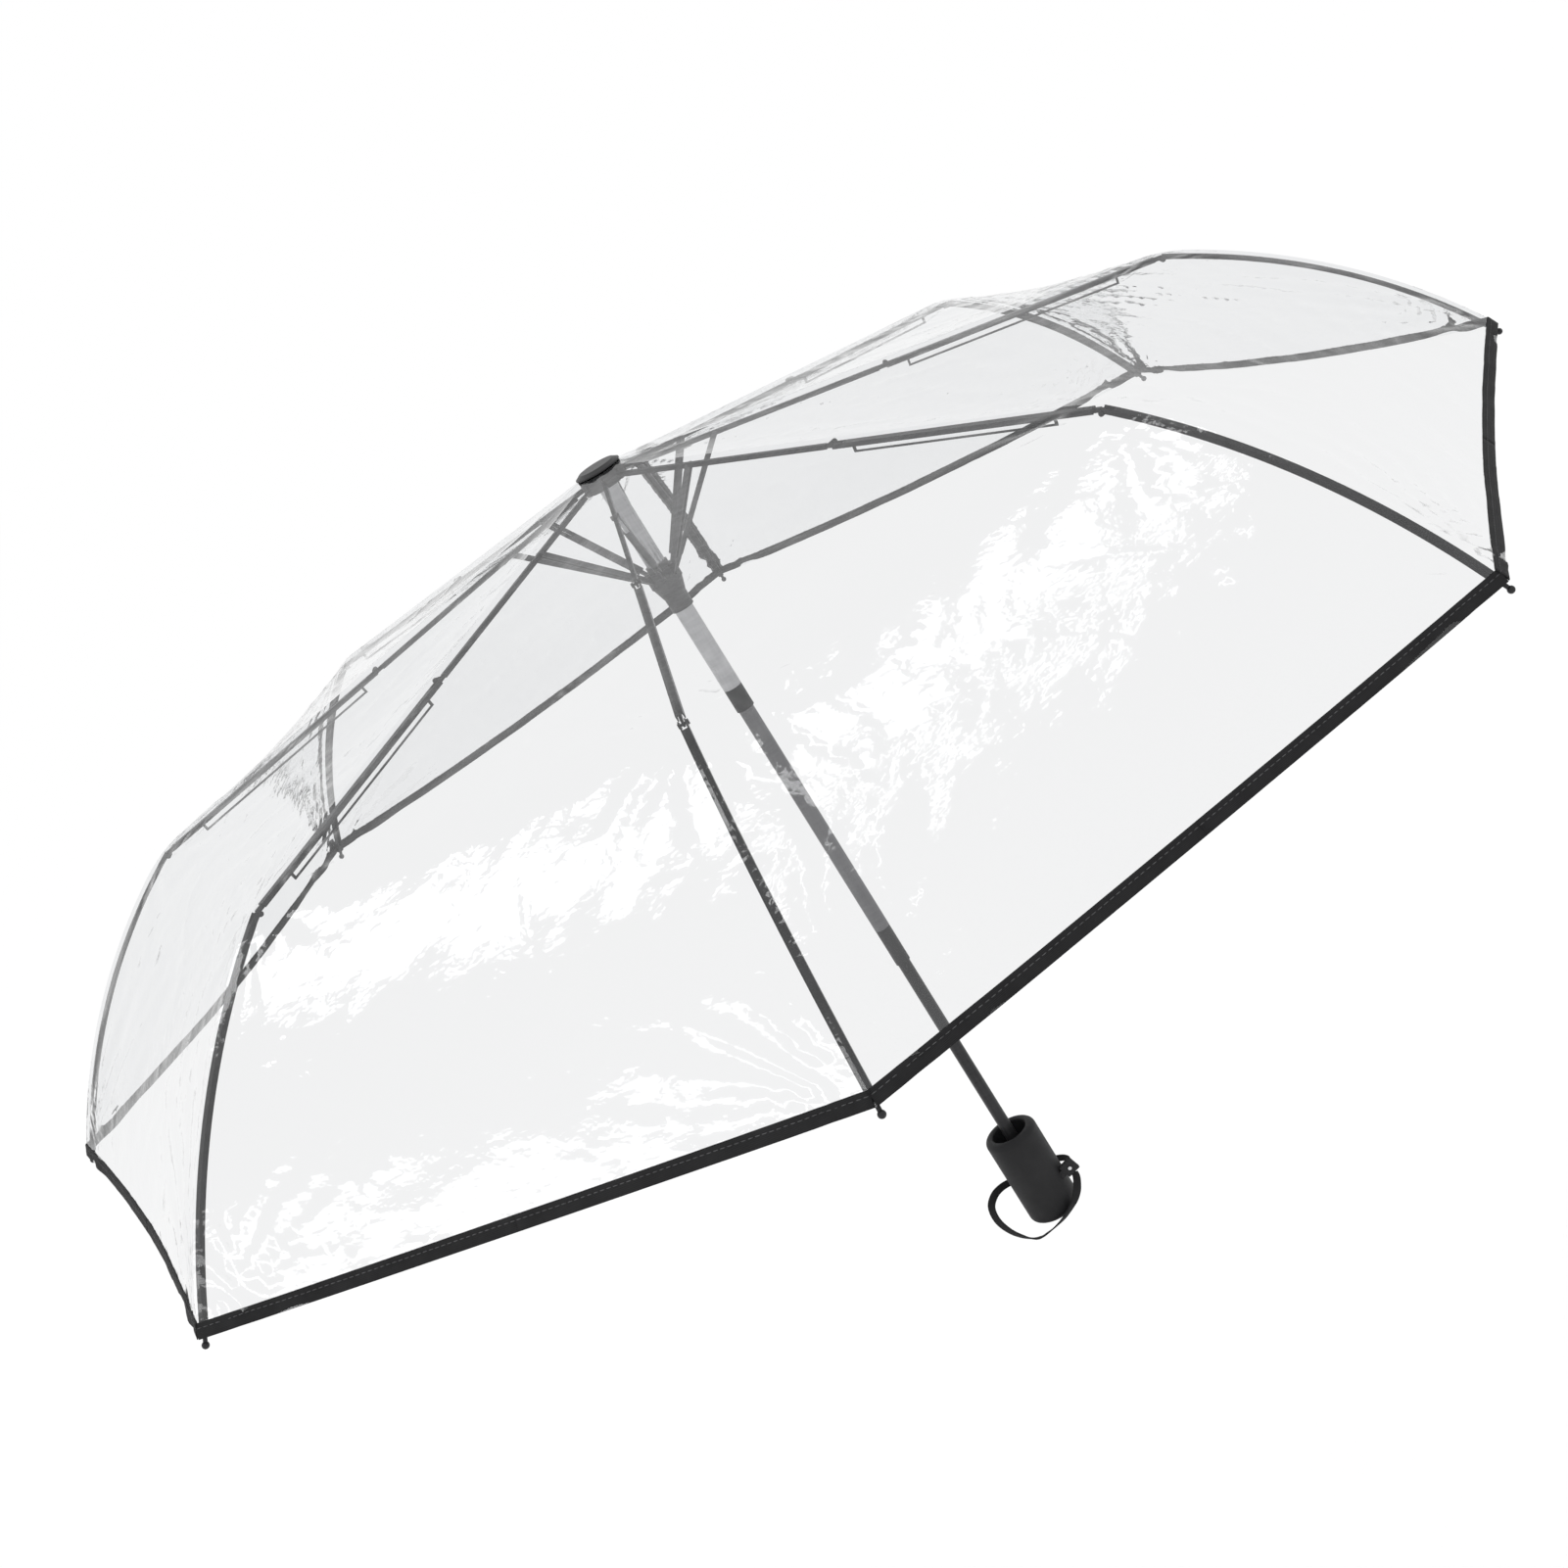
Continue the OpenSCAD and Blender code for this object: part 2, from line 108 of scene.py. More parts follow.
def smooth_route(points, per_span):
    """Catmull-Rom points through the given ones."""
    p = [Vector(q) for q in points]
    p = [2 * p[0] - p[1]] + p + [2 * p[-1] - p[-2]]
    route = []
    for i in range(1, len(p) - 2):
        for j in range(per_span):
            t = j / per_span
            route.append(0.5 * (2 * p[i] + (p[i + 1] - p[i - 1]) * t
                                + (2 * p[i - 1] - 5 * p[i] + 4 * p[i + 1] - p[i + 2]) * t * t
                                + (3 * p[i] - p[i - 1] - 3 * p[i + 1] + p[i + 2]) * t ** 3))
    return route + [p[-2]]


ribbon_route = smooth_route(ribbon_points, STEPS_PER_SPAN)

# %% Weave the ribbon
RIBBON_WIDTH, RIBBON_THICK = 0.0050, 0.0009
facings = [
    (-0.35, -0.9, 0), (-0.35, -0.9, 0), (-0.35, -0.9, -0.1), (-0.35, -0.9, -0.2),
    (-0.2, -0.85, -0.4), (-0.1, -0.7, -0.7), (0, -0.5, -0.9), (0, -0.35, -1), (0, -0.45, -0.9),
    (-0.3, -0.7, -0.6), (-0.5, -0.8, -0.2), (-0.4, -0.9, 0.1), (-0.3, -0.95, 0.2),
    (-0.1, -1, 0.3), (0.1, -1, 0.2), (0.1, -1, 0), (0, -1, 0), (0, -1, 0), (-0.3, -0.9, 0),
    (-0.8, -0.6, 0), (-1, -0.1, 0), (-1, 0, 0), (-1, 0, 0)]


def sweep_band(name, route, sides, outline, uv_name):
    """A closed tube along a route. Each outline point is (across, out) from the route's line."""
    bm = bmesh.new()
    uv = bm.loops.layers.uv.new(uv_name)
    rings, along = [], 0.0
    for i, (p, side) in enumerate(zip(route, sides)):
        ahead = (route[min(i + 1, len(route) - 1)] - route[max(i - 1, 0)]).normalized()
        out = side.cross(ahead).normalized()
        across = ahead.cross(out)
        along += (p - route[i - 1]).length if i else 0
        rings.append(([bm.verts.new(p + across * a + out * o) for a, o in outline], along))
    reach = [0.0]
    for (a, b), (c, d) in zip(outline, outline[1:] + outline[:1]):
        reach.append(reach[-1] + math.hypot(c - a, d - b))
    for (low, u0), (high, u1) in zip(rings, rings[1:]):
        for j in range(len(outline)):
            k = (j + 1) % len(outline)
            face = bm.faces.new((low[j], low[k], high[k], high[j]))
            for loop, at in zip(face.loops, ((reach[j], u0), (reach[j + 1], u0),
                                             (reach[j + 1], u1), (reach[j], u1))):
                loop[uv].uv = at
    bm.faces.new(list(reversed(rings[0][0])))
    bm.faces.new(rings[-1][0])
    bmesh.ops.recalc_face_normals(bm, faces=bm.faces)
    mesh = bpy.data.meshes.new(name)
    bm.to_mesh(mesh)
    bm.free()
    mesh.polygons.foreach_set("use_smooth", [True] * len(mesh.polygons))
    band = bpy.data.objects.new(name, mesh)
    bpy.context.scene.collection.objects.link(band)
    return band


def ribbon_sides():
    """The ribbon's width direction at each point of its route."""
    sides = []
    for i, p in enumerate(ribbon_route):
        at = i / STEPS_PER_SPAN
        low = min(int(at), len(facings) - 2)
        facing = Vector(facings[low]).lerp(Vector(facings[low + 1]), at - low)
        ahead = ribbon_route[min(i + 1, len(ribbon_route) - 1)] - ribbon_route[max(i - 1, 0)]
        sides.append(ahead.cross(facing).normalized())
    return sides


half_w, half_t = RIBBON_WIDTH / 2, RIBBON_THICK / 2
ribbon_outline = [(-half_w, 0), (-half_w * 0.93, -half_t), (-half_w * 0.5, -half_t),
                  (half_w * 0.5, -half_t), (half_w * 0.93, -half_t), (half_w, 0),
                  (half_w * 0.93, half_t), (half_w * 0.5, half_t), (-half_w * 0.5, half_t),
                  (-half_w * 0.93, half_t)]
ribbon = sweep_band("wrist_ribbon", ribbon_route, ribbon_sides(), ribbon_outline, "along")
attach(ribbon, "handle")
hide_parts("wrist_strap")
print("ribbon:", len(ribbon.data.polygons), "faces")

# %% [markdown]
# The film is one soft skin, cut as eight gores that are welded along the ribs. Between two ribs it
# is pulled straight, so it is laid out as straight lines from rib to rib, sunk a few millimetres
# where nothing holds it, with the drag lines that run out from the rib ends and the knees.
#
# An umbrella has to fold. The skin is therefore made as a strip on each side of every rib section.
# Neighbouring strips share the same edge points and the same surface directions, so the open
# canopy is one unbroken sheet, and each strip can follow its own rib section when it folds.

# %% The film's outline over one rib
RIM_RADIUS, RIM_HEIGHT, BOW = 0.477, 0.324, 0.012
RIB_HEIGHT, FILM_CLEARANCE, TAPE_WIDTH = 0.0028, 0.0022, 0.0075
crown_pivot = Vector((-joint_at["crown_hinge_0"].y, joint_at["crown_hinge_0"].z))
first_pivot = Vector((-joint_at["first_joint_0"].y, joint_at["first_joint_0"].z))
knee_pivot = Vector((-joint_at["knee_joint_0"].y, joint_at["knee_joint_0"].z))
cone_slope = math.atan2(crown_pivot.y - first_pivot.y, first_pivot.x - crown_pivot.x)


def outward(slope):
    return Vector((math.sin(slope), math.cos(slope)))


chord = Vector((RIM_RADIUS, RIM_HEIGHT)) - knee_pivot
bow_radius = (chord.length ** 2 / 4 + BOW ** 2) / (2 * BOW)
half_arc = math.asin(chord.length / 2 / bow_radius)
chord_slope = math.atan2(-chord.y, chord.x)
bow_centre = knee_pivot - bow_radius * outward(chord_slope - half_arc)
film_radius = bow_radius + RIB_HEIGHT + FILM_CLEARANCE
start_slope = chord_slope - half_arc + 0.0012 / bow_radius
end_slope = chord_slope + half_arc + 0.003 / bow_radius
hub_edge = Vector((0.0115, 0.5185))
knee_edge = knee_pivot + (RIB_HEIGHT + FILM_CLEARANCE) * outward(cone_slope)
inner_slope = math.atan2(0.5183 - knee_edge.y, knee_edge.x - 0.0104)
first_at = (first_pivot.x - hub_edge.x) / math.cos(inner_slope)
knee_at = (knee_edge.x - hub_edge.x) / math.cos(inner_slope)
rim_at = knee_at + (end_slope - start_slope) * film_radius
print("film from hub to rim over a rib, mm:", round(rim_at * 1000, 1))

# %% The film's surface
ROUNDING = 0.014


def raw_outline(s):
    """Radius and height of the film over a rib, at a distance s from the hub."""
    if s <= knee_at:
        lift = 0.0008 * max(0.0, 1 - s / 0.03) ** 2
        radius = hub_edge.x + s * math.cos(inner_slope)
        return Vector((radius, 0.5183 - (radius - 0.0104) * math.tan(inner_slope) + lift))
    return bow_centre + film_radius * outward(start_slope + (s - knee_at) / film_radius)


def outline(s):
    """The same, with the bend at the knee rounded."""
    x = (s - knee_at) / ROUNDING
    if abs(x) >= 1:
        return raw_outline(s)
    a, c = raw_outline(knee_at - ROUNDING), raw_outline(knee_at + ROUNDING)
    b, t = raw_outline(knee_at), (x + 1) / 2
    return (1 - t) ** 2 * a + 2 * t * (1 - t) * b + t * t * c


def rib_direction(k):
    angle = math.radians(-90 + 45 * k)
    return Vector((math.cos(angle), math.sin(angle), 0))


def drag_lines(across, s, half_gap, gore):
    """Height of the small folds that run out from a rib end and from a knee."""
    height = 0.0
    for corner, share, count, size, reach in (
            (0, rim_at, 24, 0.0011, 0.085), (1, rim_at, 21, 0.0011, 0.085),
            (0, knee_at, 12, 0.0008, 0.060), (1, knee_at, 14, 0.0008, 0.060)):
        du = (across if corner == 0 else 2 * half_gap - across)
        dv = s - share
        far = math.hypot(du, dv)
        angle = math.atan2(dv, du)
        swirl = noise.noise(Vector((far * 30, angle * 3, gore * 7.1 + corner)))
        fold = math.sin(angle * count + swirl * 2.2 + gore * 1.7) * min(1.0, far / 0.03)
        height += size * fold * math.exp(-(far / reach) ** 1.5)
    return height


def film_point(gore, share, s):
    """A point of the film between rib gore and the next, and how far between them."""
    radius, height = outline(s)
    ahead = outline(min(s + 0.002, rim_at)) - outline(max(s - 0.002, 0.0))
    lean = Vector((-ahead.y, ahead.x)).normalized()
    level = rib_direction(gore).lerp(rib_direction(gore + 1), share)
    point = radius * level + Vector((0, 0, height))
    normal = (lean.x * level.normalized() + Vector((0, 0, lean.y))).normalized()
    half_gap = radius * math.sin(math.radians(22.5))
    across = share * 2 * half_gap
    held = 4 * share * (1 - share)
    edge = min(1.0, min(share, 1 - share) * 2 * half_gap / 0.016)
    rim_hold = min(1.0, (rim_at - s) / 0.03)
    sag = (0.0022 + 0.0050 * min(1.0, s / rim_at)) * held * min(1.0, s / 0.08)
    waves = 0.0011 * noise.noise(Vector((across * 16 + gore * 5.3, s * 7.5, 0.7 * gore)))
    waves += 0.0005 * noise.noise(Vector((across * 50 + s * 30, s * 20 - across * 14, 3.1 * gore)))
    crease = 0.0
    for turn, gap, size in ((0.45, 21.0, 0.00055), (-0.62, 27.0, 0.0004)):
        v = (across * math.cos(turn) - s * math.sin(turn)) * gap
        v += 1.6 * noise.noise(Vector((across * 9, s * 9, gore + turn)))
        line = 1 - abs((v % 1.0) * 2 - 1)
        patch = max(0.0, noise.noise(Vector((across * 11 + 3 * gore, s * 13, turn * 9))) + 0.1)
        crease += size * line ** 6 * min(1.0, patch * 3)
    lift = waves + crease + drag_lines(across, s, half_gap, gore) * min(1.0, s / 0.1)
    lift *= edge * min(1.0, s / 0.05) * (0.35 + 0.65 * rim_hold)
    return point + normal * (lift - sag)


hub_to_rim = [round(v * 1000, 1) for v in film_point(0, 0.5, rim_at)]
print("middle of a rim edge, mm:", hub_to_rim)

# %% [markdown]
# Seen along a rib, the middle of a gore lies nearer the hub than the rib does. The strips are
# therefore not cut at an equal distance from the hub. A cut at an equal distance leaves a spike that
# stands up past the folded rib, and a cut square off the rib carries the bend along as a flap that
# sticks out. Half of the square cut keeps both of them small.

# %% Slant the cuts
SLANT = 0.5


def square_cut(s, share):
    """How far a cut at s on the rib has moved toward the rim, part of the way to the next rib."""
    pull = (1 - math.cos(math.radians(45))) * math.cos(inner_slope) * min(share, 1 - share)
    return SLANT * pull * outline(s).x / (1 - pull * math.cos(inner_slope))


def slanted(s, share):
    knots = ((0.0, 0.0), (first_at, square_cut(first_at, share)),
             (knee_at, square_cut(knee_at, share)), (rim_at, 0.0))
    for (a, low), (b, high) in zip(knots, knots[1:]):
        if s <= b + 1e-9:
            return s + low + (high - low) * (s - a) / (b - a)


print("cut at the knee, mid gore, moved by mm:", round(square_cut(knee_at, 0.5) * 1000, 1))

# %% Build one strip of film
FILM_CELL = 0.0055


def film_normal(gore, share, s):
    e = 0.0006
    near = max(0.0, share - 0.002), min(1.0, share + 0.002)
    du = film_point(gore, near[1], s) - film_point(gore, near[0], s)
    dv = film_point(gore, share, min(s + e, rim_at)) - film_point(gore, share, max(s - e, 0.0))
    return dv.cross(du).normalized() if dv.cross(du).z > 0 else du.cross(dv).normalized()


def film_strip(name, gore, shares, stations):
    """A grid of the film's points, with the film's own directions as its normals."""
    spots = [(f, min(slanted(s, f), rim_at)) for s in stations for f in shares]
    points = [film_point(gore, f, s) for f, s in spots]
    normals = [film_normal(gore, f, s) for f, s in spots]
    n = len(shares)
    faces = [(i * n + j, i * n + j + 1, (i + 1) * n + j + 1, (i + 1) * n + j)
             for i in range(len(stations) - 1) for j in range(n - 1)]
    mesh = bpy.data.meshes.new(name)
    mesh.from_pydata(points, [], faces)
    first = mesh.polygons[0].normal
    if first.z < 0:
        mesh.flip_normals()
    mesh.polygons.foreach_set("use_smooth", [True] * len(mesh.polygons))
    mesh.normals_split_custom_set_from_vertices(normals)
    strip = bpy.data.objects.new(name, mesh)
    bpy.context.scene.collection.objects.link(strip)
    return strip


def steps(low, high, cell):
    count = max(2, round((high - low) / cell))
    return [low + (high - low) * i / count for i in range(count + 1)]


def mesh_area(obj):
    return sum(p.area for p in obj.data.polygons)


# %% [markdown]
# Folding pulls the film against each rib section: the real film gathers into pleats there. Each strip
# rides on its own rib section.

# %% Hang the film on the ribs
SECTIONS = (("top", "top_rib", 0.0, first_at), ("mid", "mid_rib", first_at, knee_at),
            ("outer", "outer_rib", knee_at, rim_at))


def gather(obj):
    """Gives a strip a mesh of its own."""
    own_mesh(obj)


film_strips = []
for k in range(8):
    for side in (1, -1):
        gore = k if side == 1 else (k - 1) % 8
        for section, body, low, high in SECTIONS:
            reach = slanted(high, 0.5)
            widest = 2 * outline(reach).x * math.sin(math.radians(22.5))
            shares = [0.5 * x for x in steps(0, 1, FILM_CELL / (widest / 2))]
            shares = shares if side == 1 else [0.5 + f for f in shares]
            strip = film_strip(f"film_{section}_{k}_{'left' if side == 1 else 'right'}", gore,
                               shares, steps(low, high, FILM_CELL))
            film_strips.append((strip, section, body, k, side, low, reach, widest))
print("film strips:", len(film_strips), "with",
      sum(len(s[0].data.polygons) for s in film_strips), "faces")

# %% [markdown]
# The rim is bound with a black woven tape, folded over the film's edge and sewn through with one
# line of stitches. It is a flat closed band along the rim, a little fuller at its lower fold, and
# each stitch is a short thread that dips into the tape at both ends.

# %% Sew the rim tape
tape_outline_mm = [(-3.75, 0.0), (-3.6, 0.42), (-2.6, 0.55), (-0.4, 0.62), (2.2, 0.66), (3.4, 0.58),
                   (3.8, 0.15), (3.8, -0.25), (3.3, -0.5), (1.5, -0.52), (-1.5, -0.48), (-3.6, -0.34)]
STITCH_LENGTH, STITCH_GAP, STITCH_AT = 0.0026, 0.0009, -0.0013


def rim_line(gore, shares, s):
    """Points along the film at one distance from the hub, and the film's downhill direction."""
    points = [film_point(gore, f, s) for f in shares]
    downhill = [(film_point(gore, f, s) - film_point(gore, f, s - 0.004)).normalized()
                for f in shares]
    return points, downhill


def stitches(name, gore, shares_range, s):
    bm = bmesh.new()
    length = (film_point(gore, shares_range[1], s) - film_point(gore, shares_range[0], s)).length
    count = int(length / (STITCH_LENGTH + STITCH_GAP))
    for i in range(count):
        ends = [shares_range[0] + (shares_range[1] - shares_range[0])
                * (i + x) / count for x in (0.12, 0.36, 0.6, 0.84)]
        points, downhill = rim_line(gore, ends, s)
        for face_side in (1, -1):
            rings = []
            for j, (p, down) in enumerate(zip(points, downhill)):
                ahead = (points[3] - points[0]).normalized()
                out = ahead.cross(down).normalized()
                out = out if out.z > 0 else -out
                lift = face_side * (0.0006 if face_side == 1 else 0.0005)
                size = 0.00026 if j in (1, 2) else 0.00012
                centre = p + out * lift * (1.06 if j in (1, 2) else 0.75)
                rings.append([bm.verts.new(centre + out * size * math.cos(t * 1.2566)
                                           + down * size * math.sin(t * 1.2566))
                              for t in range(5)])
            for low, high in zip(rings, rings[1:]):
                for j in range(5):
                    bm.faces.new((low[j], low[(j + 1) % 5], high[(j + 1) % 5], high[j]))
            bm.faces.new(rings[0])
            bm.faces.new(rings[-1])
    bmesh.ops.recalc_face_normals(bm, faces=bm.faces)
    mesh = bpy.data.meshes.new(name)
    bm.to_mesh(mesh)
    bm.free()
    mesh.polygons.foreach_set("use_smooth", [True] * len(mesh.polygons))
    seam = bpy.data.objects.new(name, mesh)
    bpy.context.scene.collection.objects.link(seam)
    return seam


def rim_tape(k, side):
    gore = k if side == 1 else (k - 1) % 8
    shares = [0.5 * x for x in steps(0, 1, 0.022)]
    shares = shares if side == 1 else [0.5 + f for f in shares]
    points, downhill = rim_line(gore, shares, rim_at - TAPE_WIDTH / 2)
    word = "left" if side == 1 else "right"
    tape = sweep_band(f"rim_tape_{k}_{word}", points, [-d for d in downhill],
                      [(a / 1000, o / 1000) for a, o in tape_outline_mm], "along")
    seam = stitches(f"rim_stitches_{k}_{word}", gore, (shares[0], shares[-1]),
                    rim_at - TAPE_WIDTH / 2 + STITCH_AT)
    return tape, seam


tapes = {(k, side): rim_tape(k, side) for k in range(8) for side in (1, -1)}
print("rim tapes:", len(tapes), "stitch faces on one:", len(tapes[0, 1][1].data.polygons))

# %% Tie everything to the ribs
for (k, side), (tape, seam) in tapes.items():
    for piece in (tape, seam):
        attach(piece, f"outer_rib_{k}")
for strip, section, body, k, side, low, reach, widest in film_strips:
    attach(strip, f"{body}_{k}")
    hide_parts(f"canopy_outer_{k}" if section == "outer" else "canopy_inner")
print("film flat area, square metres:", round(sum(mesh_area(s[0]) for s in film_strips), 4))
print("flat strips, mm:", [(s[1], round(s[7] * 500, 1), round((s[6] - s[5]) * 1000, 1))
                           for s in film_strips[:3]])

# %% Give each film strip, tape and seam its own mesh
for strip, section, body, k, side, low, reach, widest in film_strips:
    gather(strip)
for (k, side), (tape, seam) in tapes.items():
    gather(tape)
    gather(seam)
print("pieces that gather as the ribs fold:", len(film_strips) + 2 * len(tapes))

# %% [markdown]
# Every finish below is built from nodes on object coordinates, in metres, so a scale of 1000 is one
# pattern per millimetre. A few short helpers keep the recipes readable: one makes a node and its
# links, one mixes two colours, and one turns any pattern into bump.

# %% Helpers for finishes
def new_finish(name):
    material = bpy.data.materials.new(name)
    material.use_nodes = True
    tree = material.node_tree
    tree.nodes.clear()
    output = tree.nodes.new("ShaderNodeOutputMaterial")
    shader = tree.nodes.new("ShaderNodeBsdfPrincipled")
    tree.links.new(shader.outputs[0], output.inputs["Surface"])
    return material, tree, shader, output


def node(tree, kind, settings=(), **inputs):
    made = tree.nodes.new("ShaderNode" + kind)
    for key, value in dict(settings).items():
        setattr(made, key, value)
    for key, value in inputs.items():
        socket = made.inputs[int(key[1:])] if key[0] == "i" and key[1:].isdigit() \
            else made.inputs[key.replace("_", " ")]
        if isinstance(value, bpy.types.NodeSocket):
            tree.links.new(value, socket)
        else:
            socket.default_value = value
    return made


def place(tree, scale=(1, 1, 1), turn=(0, 0, 0), move=(0, 0, 0)):
    spot = node(tree, "TexCoord").outputs["Object"]
    return node(tree, "Mapping", Vector=spot, Scale=scale, Rotation=turn,
                Location=move).outputs[0]


def calc(tree, operation, a, b=0.0, clamp=False):
    return node(tree, "Math", {"operation": operation, "use_clamp": clamp}, i0=a, i1=b).outputs[0]


def blotch(tree, scale, detail=3.0, rough=0.5, spot=None):
    spot = spot if spot is not None else place(tree)
    return node(tree, "TexNoise", Vector=spot, Scale=scale, Detail=detail,
                Roughness=rough).outputs["Fac"]


def ramp(tree, factor, stops):
    made = node(tree, "ValToRGB", Fac=factor)
    bar = made.color_ramp
    while len(bar.elements) < len(stops):
        bar.elements.new(0.5)
    for element, (at, value) in zip(bar.elements, stops):
        element.position = at
        element.color = (*([value] * 3 if isinstance(value, float) else value), 1)
    return made.outputs["Color"]


def bump(tree, shader, height, strength, distance):
    made = node(tree, "Bump", Height=height, Strength=strength, Distance=distance)
    tree.links.new(made.outputs[0], shader.inputs["Normal"])


# %% [markdown]
# Metal first. The ribs are folded from steel strip and coated dark grey: the coat is a little
# uneven, and the tips past the film are one even dark shade. The tubes
# are drawn, so fine lines run along them, crossed by faint rings where the sections telescope.

# %% Rib and stretcher steel
TIP_FROM = 0.4785


def coated_steel(name, dark, light, rough_low, rough_high, tip_beyond=None):
    material, tree, shader, output = new_finish(name)
    cloud = blotch(tree, 60.0, 4.0)
    colour = ramp(tree, cloud, ((0.3, dark), (0.7, light)))
    fine = blotch(tree, 1500.0, 2.0)
    rough = node(tree, "MapRange", Value=cloud, i3=rough_low, i4=rough_high).outputs[0]
    if tip_beyond:
        spot = node(tree, "SeparateXYZ", Vector=place(tree))
        reach = calc(tree, "SQRT", calc(tree, "ADD", calc(tree, "MULTIPLY", spot.outputs[0],
                     spot.outputs[0]), calc(tree, "MULTIPLY", spot.outputs[1], spot.outputs[1])))
        tip = calc(tree, "GREATER_THAN", reach, tip_beyond)
        colour = node(tree, "MixRGB", Fac=tip, Color1=colour,
                      Color2=(0.03, 0.03, 0.032, 1)).outputs[0]
    tree.links.new(colour, shader.inputs["Base Color"])
    tree.links.new(rough, shader.inputs["Roughness"])
    shader.inputs["Metallic"].default_value = 0.6
    shader.inputs["Specular IOR Level"].default_value = 0.3
    bump(tree, shader, fine, 0.25, 0.00004)
    return material


rib_steel = coated_steel("rib_steel", (0.010, 0.010, 0.011), (0.032, 0.032, 0.034), 0.3, 0.5,
                         TIP_FROM)
stretcher_steel = coated_steel("stretcher_steel", (0.04, 0.04, 0.042), (0.1, 0.1, 0.103), 0.3, 0.5)


# %% Drawn tubes
def drawn_tube(name, dark, light, metallic, specular=0.5):
    material, tree, shader, output = new_finish(name)
    lines = blotch(tree, 1.0, 3.0, 0.6, place(tree, (900, 900, 12)))
    rings = blotch(tree, 1.0, 2.0, 0.6, place(tree, (25, 25, 420)))
    cloud = blotch(tree, 35.0, 3.0)
    worn = calc(tree, "ADD", calc(tree, "MULTIPLY", lines, 0.5), calc(tree, "MULTIPLY", rings, 0.5))
    colour = ramp(tree, calc(tree, "ADD", calc(tree, "MULTIPLY", worn, 0.6),
                             calc(tree, "MULTIPLY", cloud, 0.4)), ((0.35, dark), (0.65, light)))
    rough = node(tree, "MapRange", Value=worn, i1=0.35, i2=0.65, i3=0.26, i4=0.44).outputs[0]
    tree.links.new(colour, shader.inputs["Base Color"])
    tree.links.new(rough, shader.inputs["Roughness"])
    shader.inputs["Metallic"].default_value = metallic
    shader.inputs["Specular IOR Level"].default_value = specular
    bump(tree, shader, worn, 0.2, 0.00003)
    return material


tube_steel = drawn_tube("tube_steel", (0.11, 0.11, 0.115), (0.19, 0.19, 0.195), 0.8)
top_tube_steel = drawn_tube("top_tube_steel", (0.34, 0.34, 0.35), (0.5, 0.5, 0.51), 0.9)
lower_tube_paint = drawn_tube("lower_tube_paint", (0.014, 0.014, 0.015), (0.032, 0.032, 0.034), 0.3, 0.35)
wire_steel = drawn_tube("wire_steel", (0.35, 0.35, 0.36), (0.5, 0.5, 0.51), 1.0)
print("metal finishes ready")

# %% [markdown]
# The moulded pieces are black nylon with the very fine pebble that a spark-eroded mould leaves. The
# grip has a soft-touch coat: coarser, and nearly without shine.

# %% Moulded plastic
def moulded(name, dark, light, rough_low, rough_high, pebble, depth, specular):
    material, tree, shader, output = new_finish(name)
    grain = node(tree, "TexVoronoi", Vector=place(tree), Scale=pebble).outputs["Distance"]
    cloud = blotch(tree, 45.0, 4.0)
    dust = blotch(tree, 700.0, 3.0, 0.7)
    colour = ramp(tree, calc(tree, "ADD", calc(tree, "MULTIPLY", cloud, 0.7),
                             calc(tree, "MULTIPLY", dust, 0.3)), ((0.35, dark), (0.68, light)))
    rough = node(tree, "MapRange", Value=dust, i1=0.3, i2=0.7, i3=rough_low, i4=rough_high)
    tree.links.new(colour, shader.inputs["Base Color"])
    tree.links.new(rough.outputs[0], shader.inputs["Roughness"])
    shader.inputs["Specular IOR Level"].default_value = specular
    bump(tree, shader, grain, 0.35, depth)
    return material


grip_plastic = moulded("grip_plastic", (0.009, 0.009, 0.010), (0.019, 0.019, 0.020), 0.5, 0.68,
                       1900.0, 0.00006, 0.22)
black_plastic = moulded("black_plastic", (0.012, 0.012, 0.013), (0.03, 0.03, 0.031), 0.36, 0.55,
                        2600.0, 0.00004, 0.35)


# %% [markdown]
# The rim tape and the wrist ribbon are woven: a row of fine ribs across the width, and the warp
# threads along it. Both read the strip's own coordinates, so the weave turns with the ribbon.

# %% Woven tape and thread
def woven(name, dark, light, uv_name=None):
    material, tree, shader, output = new_finish(name)
    if uv_name:
        spot = node(tree, "UVMap", {"uv_map": uv_name}).outputs[0]
        weft = node(tree, "TexWave", {"bands_direction": "Y"}, Vector=spot, Scale=560.0,
                    Distortion=0.4).outputs["Fac"]
        warp = node(tree, "TexWave", {"bands_direction": "X"}, Vector=spot, Scale=420.0,
                    Distortion=0.3).outputs["Fac"]
    else:
        weft = node(tree, "TexWave", {"bands_direction": "Z"}, Vector=place(tree), Scale=560.0,
                    Distortion=0.4).outputs["Fac"]
        warp = node(tree, "TexWave", {"bands_direction": "X"}, Vector=place(tree), Scale=420.0,
                    Distortion=0.3).outputs["Fac"]
    weave = calc(tree, "ADD", calc(tree, "MULTIPLY", weft, 0.65), calc(tree, "MULTIPLY", warp, 0.35))
    cloud = blotch(tree, 90.0, 4.0)
    shade = calc(tree, "ADD", calc(tree, "MULTIPLY", weave, 0.6), calc(tree, "MULTIPLY", cloud, 0.4))
    tree.links.new(ramp(tree, shade, ((0.25, dark), (0.75, light))), shader.inputs["Base Color"])
    rough = node(tree, "MapRange", Value=weave, i3=0.62, i4=0.85).outputs[0]
    tree.links.new(rough, shader.inputs["Roughness"])
    shader.inputs["Specular IOR Level"].default_value = 0.15
    bump(tree, shader, weave, 0.6, 0.00012)
    return material, tree, shader


